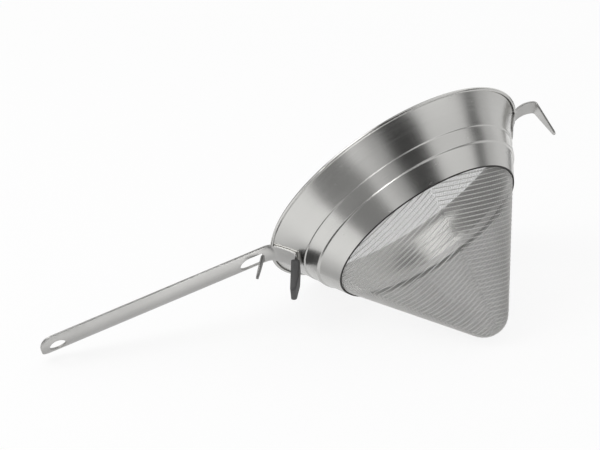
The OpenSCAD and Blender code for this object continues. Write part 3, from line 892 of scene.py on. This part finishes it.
# Each bend: where it starts, its radius, its headings and the crown kept at both ends.
hook_bends = ((wall_top, HOOK_BEND_R, HOOK_START, ARCH_START, 1, 0),
              (over_rim, arch_r, ARCH_START, ARCH_END, 0, 0),
              (arch_out, LEG_BEND_R, ARCH_END, LEG_DIR, 0, 0))
for origin, radius, first, last, keep_a, keep_b in hook_bends:
    for f in bend_shares:
        shift = origin - wall_top + bend_right(radius, first, first + (last - first) * f)
        crown = keep_a + (keep_b - keep_a) * f
        hook_rows.append((moved_row(plate_row(1), shift, crown), HOOK_W / 2))
for s in np.concatenate([np.linspace(3, leg_l - HOOK_TIP_ROUND, 6),
                         leg_l - HOOK_TIP_ROUND * (1 - np.sin(np.radians((25, 50, 70, 85))))]):
    widest = np.interp(s, [0, leg_l], [HOOK_W, HOOK_TIP_W]) / 2
    hook_rows.append((flat_row(leg_top - point(0, s)), round_end(widest, HOOK_TIP_ROUND, leg_l - s)))
hook = piece("pan_hook_strip", strip_shape(hook_rows, HOOK_T, HOOK_EDGE), strip_steel,
             "pan_hook")

# %% [markdown]
# A spot weld leaves a shallow round dent with a soft raised edge where the electrode
# pressed. Each is a small turned disc laid on the strip, a tenth of a millimetre high,
# and it replaces the CAD's plain plug.

# %% Spot welds
dent = [(0, -0.3), (WELD_D / 2 + 0.25, -0.3), (WELD_D / 2 + 0.25, 0.0), (WELD_D / 2 + 0.05, 0.07),
        (WELD_D / 2 - 0.3, 0.09), (WELD_D / 2 - 0.8, 0.05), (0.5, 0.03), (0, 0.03)]
DENT_TURNS, WELD_IN = 32, 0.4


def weld_disc(side, y, z, thickness):
    """A weld's dent on the outer face of a strip that lies on the flared band."""
    points, faces = turned_shape(dent, DENT_TURNS)
    lean, r = math.radians(wall_lean(z)), wall_r(z)
    azimuth = math.asin(y / r)
    out = Vector((math.cos(lean), 0, -math.sin(lean)))
    basis = Matrix((out.cross(Vector((0, -1, 0))), Vector((0, 1, 0)), out)).transposed()
    spin = Matrix.Rotation(azimuth if side > 0 else math.pi - azimuth, 3, "Z")
    base = Vector((r, 0, z)) + out * thickness
    return [tuple(spin @ (basis @ Vector(p) + base)) for p in points], faces


handle_weld_z = -(ROOT_H - WELD_D / 2 - WELD_ALONG / 2 - WELD_IN)
hook_weld_z = -HOOK_PLATE_H / 2 - WELD_IN
root_welds = [weld_disc(-1, y * WELD_ACROSS / 2, handle_weld_z + z * WELD_ALONG / 2, HANDLE_T)
              for y in (-1, 1) for z in (-1, 1)]
plate_welds = [weld_disc(1, 0, hook_weld_z + z * WELD_ALONG / 2, HOOK_T) for z in (-1, 1)]
piece("root_welds", joined(root_welds), weld_steel, "handle_spot_welds")
piece("plate_welds", joined(plate_welds), weld_steel, "hook_spot_welds")

# %% [markdown]
# The strainer lies on a table on three contacts: the handle's end, one side of the rim
# and the tip. The table's direction is read from those, and its height from the
# lowest point of the model. It is white, lets light through from behind so that it
# hides nothing in a view from below, and keeps a soft shadow.

# %% Table
TABLE_HALF, TABLE_DROP, TABLE_GLOW = 4.0, 0.0003, 0.86
table_up = unit(point(0.312, -0.764, 0.565))
lowest = min(float((np.array([v.co for v in o.data.vertices]) @ table_up).min())
             for o in (collar, handle, fine_cloth, hook))
side_x = unit(np.cross(table_up, point(0, 0, 1)))
side_y = np.cross(table_up, side_x)
middle = table_up * (lowest - TABLE_DROP)
table_mesh = bpy.data.meshes.new("table")
table_mesh.from_pydata([tuple(middle + TABLE_HALF * (a * side_x + b * side_y))
                        for a, b in ((-1, -1), (1, -1), (1, 1), (-1, 1))], [], [(0, 1, 2, 3)])
table = put("table", table_mesh)
table_white, tree, shader = new_material("Table white")
tree.nodes.remove(shader)
lit = add(tree, "ShaderNodeBsdfDiffuse", [("Color", (0.93, 0.93, 0.93, 1))])
glow = add(tree, "ShaderNodeEmission", [("Color", (1, 1, 1, 1)), ("Strength", 1.0)])
both = add(tree, "ShaderNodeMixShader", [(0, TABLE_GLOW), (1, lit.outputs[0]), (2, glow.outputs[0])])
behind = add(tree, "ShaderNodeNewGeometry").outputs["Backfacing"]
clear = add(tree, "ShaderNodeBsdfTransparent").outputs[0]
shown = add(tree, "ShaderNodeMixShader", [(0, behind), (1, both.outputs[0]), (2, clear)])
tree.links.new(shown.outputs[0], tree.nodes["Material Output"].inputs[0])
table_mesh.materials.append(table_white)
table.visible_glossy = False
print("table", round(-lowest * 1000, 1), "mm below the origin, facing", table_mesh.polygons[0].normal)

# %% [markdown]
# Polished steel is mostly a picture of the room, so this room is arranged as one is for
# photographing pots. A folding screen of white, grey and black panels stands round the
# strainer, and each panel shows on the collar as a band from the rim to the cloth. The
# screen is one mesh with a tone stored at each column, so its joints are soft. It is
# only seen in reflections: the camera and the soft light pass through it.

# %% Helpers for the studio
SCREEN_DISTANCE = 6.0
screen_paint, tree, shader = new_material("Screen paint")
tree.nodes.remove(shader)
painted = add(tree, "ShaderNodeAttribute", attribute_name="tone")
glow = add(tree, "ShaderNodeEmission", [("Color", painted.outputs["Fac"]), ("Strength", 1.0)])
tree.links.new(glow.outputs[0], tree.nodes["Material Output"].inputs[0])


def towards(azimuth, elevation):
    """A place on the studio's round wall, in degrees round and up from the strainer."""
    a, e = math.radians(azimuth), math.radians(elevation)
    return SCREEN_DISTANCE * Vector((math.cos(e) * math.cos(a), math.cos(e) * math.sin(a), math.sin(e)))


def hung(name, points, faces, tones):
    """A sheet that only reflections see, with a tone at each point."""
    mesh = bpy.data.meshes.new(name)
    mesh.from_pydata([tuple(p) for p in points], [], faces)
    mesh.attributes.new("tone", "FLOAT", "POINT").data.foreach_set("value", tones)
    mesh.materials.append(screen_paint)
    obj = put(name, mesh)
    obj.visible_camera = obj.visible_diffuse = obj.visible_transmission = obj.visible_shadow = False


def screen(name, rows, nearer=1.0):
    """rows holds (elevation, azimuths, tones): the screen is the sheet through them."""
    points = [nearer * towards(a, e) for e, azimuths, _ in rows for a in azimuths]
    n = len(rows[0][1])
    faces = [(k * n + j, k * n + j + 1, (k + 1) * n + j + 1, (k + 1) * n + j)
             for k in range(len(rows) - 1) for j in range(n - 1)]
    hung(name, points, faces, [t for _, _, tones in rows for t in tones])


def card(name, nearer, rows):
    """A screen with one tone a row: rows holds (elevation, first azimuth, last azimuth, tone)."""
    screen(name, [(e, (first, last), (tone, tone)) for e, first, last, tone in rows], nearer)


def pool(name, azimuth, elevation, size, tone, nearer=0.95):
    """A round bright patch, such as a window or a lamp's diffuser."""
    aim = nearer * towards(azimuth, elevation)
    side = aim.orthogonal().normalized()
    other = aim.cross(side).normalized()
    r = SCREEN_DISTANCE * math.tan(math.radians(size))
    rim = [aim + r * (math.cos(t) * side + math.sin(t) * other)
           for t in np.radians(np.arange(0, 360, 15))]
    hung(name, rim, [tuple(range(len(rim)))], [tone] * len(rim))


# %% The folding screen round the collar
# Each panel: where it starts at its foot and at its head, and its tones there.
PANELS = [(169, 191, 0.24, 0.26), (227, 238, 0.98, 0.62), (241, 247, 0.76, 0.58),
          (254, 254, 0.50, 0.50), (272, 266, 0.05, 0.04), (319.5, 300, 0.95, 0.74),
          (3, 336, 0.90, 0.74), (23, 349, 0.10, 0.12), (35, 4.5, 0.58, 0.60),
          (46, 20, 0.72, 0.74), (54, 52, 0.8, 0.8)]
LOWEST_ROW, FOOT_ROW, HEAD_ROW, HIGHEST_ROW, SOFT_JOINT = -76, -60, -14, 8, 3
foot_az, head_az, foot_tones, head_tones = [], [], [], []
for (f0, h0, foot_tone, head_tone), (f1, h1, _, _) in zip(PANELS, PANELS[1:]):
    for line, start, stop in ((foot_az, f0, f1), (head_az, h0, h1)):
        start += 360 if line and line[-1] - start > 180 else 0
        line += [start + SOFT_JOINT, start + (stop - start) % 360 - SOFT_JOINT]
    foot_tones += [foot_tone] * 2
    head_tones += [head_tone] * 2
screen("screen_round", [(LOWEST_ROW, foot_az, foot_tones), (FOOT_ROW, foot_az, foot_tones),
                        (HEAD_ROW, head_az, head_tones), (HIGHEST_ROW, head_az, head_tones)])
print("screen columns:", len(foot_az))

# %% [markdown]
# The other surfaces look elsewhere. The handle's underside mirrors a backdrop that is
# brightest towards the floor, and the bowl's inside mirrors the ceiling and its
# windows. The ledges mirror a dark card on each side and a lamp below, which give thin
# dark lines and bright streaks. Small cards shade the rim's side, the root, the tongue
# and the collar beside the hook. A small lamp near the collar lights the trimmed edge
# of the handle's root, and a flag keeps it off the rim.

# %% Backdrop, cards and ceiling
BACKDROP = [(-76, 1.35), (-55, 1.35), (-42, 0.98), (-24, 0.70), (-8, 0.64), (7, 0.72), (24, 0.85)]
card("screen_backdrop", 0.98, [(e, 60, 110, tone) for e, tone in BACKDROP])
card("card_left", 0.99, [(-86, 110, 150, 0.12), (-50, 110, 142, 0.12), (-34, 110, 128, 0.12)])
card("card_right", 0.97, [(-82, 12, 50, 0.2), (-43, 14, 50, 0.25)])
ROOT_CARD = [(-30, (0.80, 0.82, 0.90, 1.0)), (-16, (0.68, 0.68, 0.80, 1.0)),
             (-4, (0.45, 0.45, 0.55, 1.0)), (8, (0.60, 0.55, 0.60, 1.0))]
screen("card_root", [(e, (112, 124, 140, 154), tones) for e, tones in ROOT_CARD], 0.97)
card("card_hook", 0.96, [(-6, 45, 53, 0.1), (9, 46, 54, 0.1)])
card("card_tongue", 0.96, [(16, 56, 76, 0.15), (34, 56, 76, 0.15)])
ceiling_az = tuple(range(0, 361, 20))
ceiling_tones = tuple(0.80 if az < 100 or az > 320 else 0.22 for az in ceiling_az)
screen("screen_ceiling", [(36, ceiling_az, ceiling_tones), (66, ceiling_az, ceiling_tones),
                          (89, ceiling_az, (0.30,) * len(ceiling_az))], 1.05)
card("dark_edge", 0.96, [(8, 266, 284, 0.08), (32, 262, 282, 0.08)])

# %% Windows and lamps
pool("window_high", 225, 83, 11, 1.8)
pool("window_low", 252, 71, 11, 1.8)
pool("card_below", 0, -90, 26, 0.25, 1.1)
pool("lamp_below", 97, -81, 7, 3.5)
pool("lamp_near", 221.5, -4.9, 0.21, 6.0, 0.03105)
pool("flag_near", 224.7, -3.3, 0.115, 1.0, 0.0235)

# %% [markdown]
# The world is plain white where the camera and the steel look at it, and a little
# dimmer as a lamp, so that colours render about as they are written. One large soft
# lamp from the upper left gives the shapes a light side.

# %% World and lamp
SOFT_LIGHT, LAMP_WATTS, LAMP_SIZE, LAMP_DISTANCE = 0.8, 6, 0.9, 1.6
world = bpy.data.worlds.new("studio")
bpy.context.scene.world = world
world.use_nodes = True
tree = world.node_tree
seen = tree.nodes["Background"]
seen.inputs[0].default_value, seen.inputs[1].default_value = (1, 1, 1, 1), 1.0
lighting = add(tree, "ShaderNodeBackground", [(0, (1, 1, 1, 1)), (1, SOFT_LIGHT)])
path = add(tree, "ShaderNodeLightPath")
looks = math_node(tree, "MAXIMUM", path.outputs["Is Camera Ray"], path.outputs["Is Glossy Ray"])
looks = math_node(tree, "MAXIMUM", looks, path.outputs["Is Transmission Ray"])
mixed = add(tree, "ShaderNodeMixShader", [(0, looks), (1, lighting.outputs[0]), (2, seen.outputs[0])])
tree.links.new(mixed.outputs[0], tree.nodes["World Output"].inputs[0])

lamp_data = bpy.data.lights.new("soft_lamp", "AREA")
lamp_data.energy, lamp_data.size = LAMP_WATTS, LAMP_SIZE
lamp = put("soft_lamp", lamp_data)
level_x = unit(point(0.875, -0.001, -0.484))
lamp_way = -0.9 * level_x - 0.3 * np.cross(table_up, level_x) + 1.1 * table_up
lamp.location = Vector(LAMP_DISTANCE * unit(lamp_way))
lamp.rotation_euler = (-lamp.location).to_track_quat("-Z", "Y").to_euler()
print("soft lamp at", [round(c, 2) for c in lamp.location])

# %% [markdown]
# The camera stands where the photograph's did. Its place and its two axes come from
# fitting the rim and the ledges, and the lens from the width of the view.

# %% Camera
CAMERA_PLACE = Vector((-0.3718, -1.4554, -0.6057))
CAMERA_RIGHT, CAMERA_UP = Vector((0.8577, 0.0390, -0.5126)), Vector((0.4791, -0.4223, 0.7695))
FOCAL_PIXELS, IMAGE_WIDTH, SENSOR = 2319.5, 600, 36.0
camera_data = bpy.data.cameras.new("camera")
camera_data.sensor_width, camera_data.lens = SENSOR, FOCAL_PIXELS / IMAGE_WIDTH * SENSOR
camera = put("camera", camera_data)
right = CAMERA_RIGHT.normalized()
up = (CAMERA_UP - right * CAMERA_UP.dot(right)).normalized()
turn = Matrix((right, up, right.cross(up))).transposed().to_4x4()
camera.matrix_world = Matrix.Translation(CAMERA_PLACE) @ turn
bpy.context.scene.camera = camera
bpy.context.scene.view_settings.view_transform = "Standard"
print("lens", round(camera_data.lens, 1), "mm")
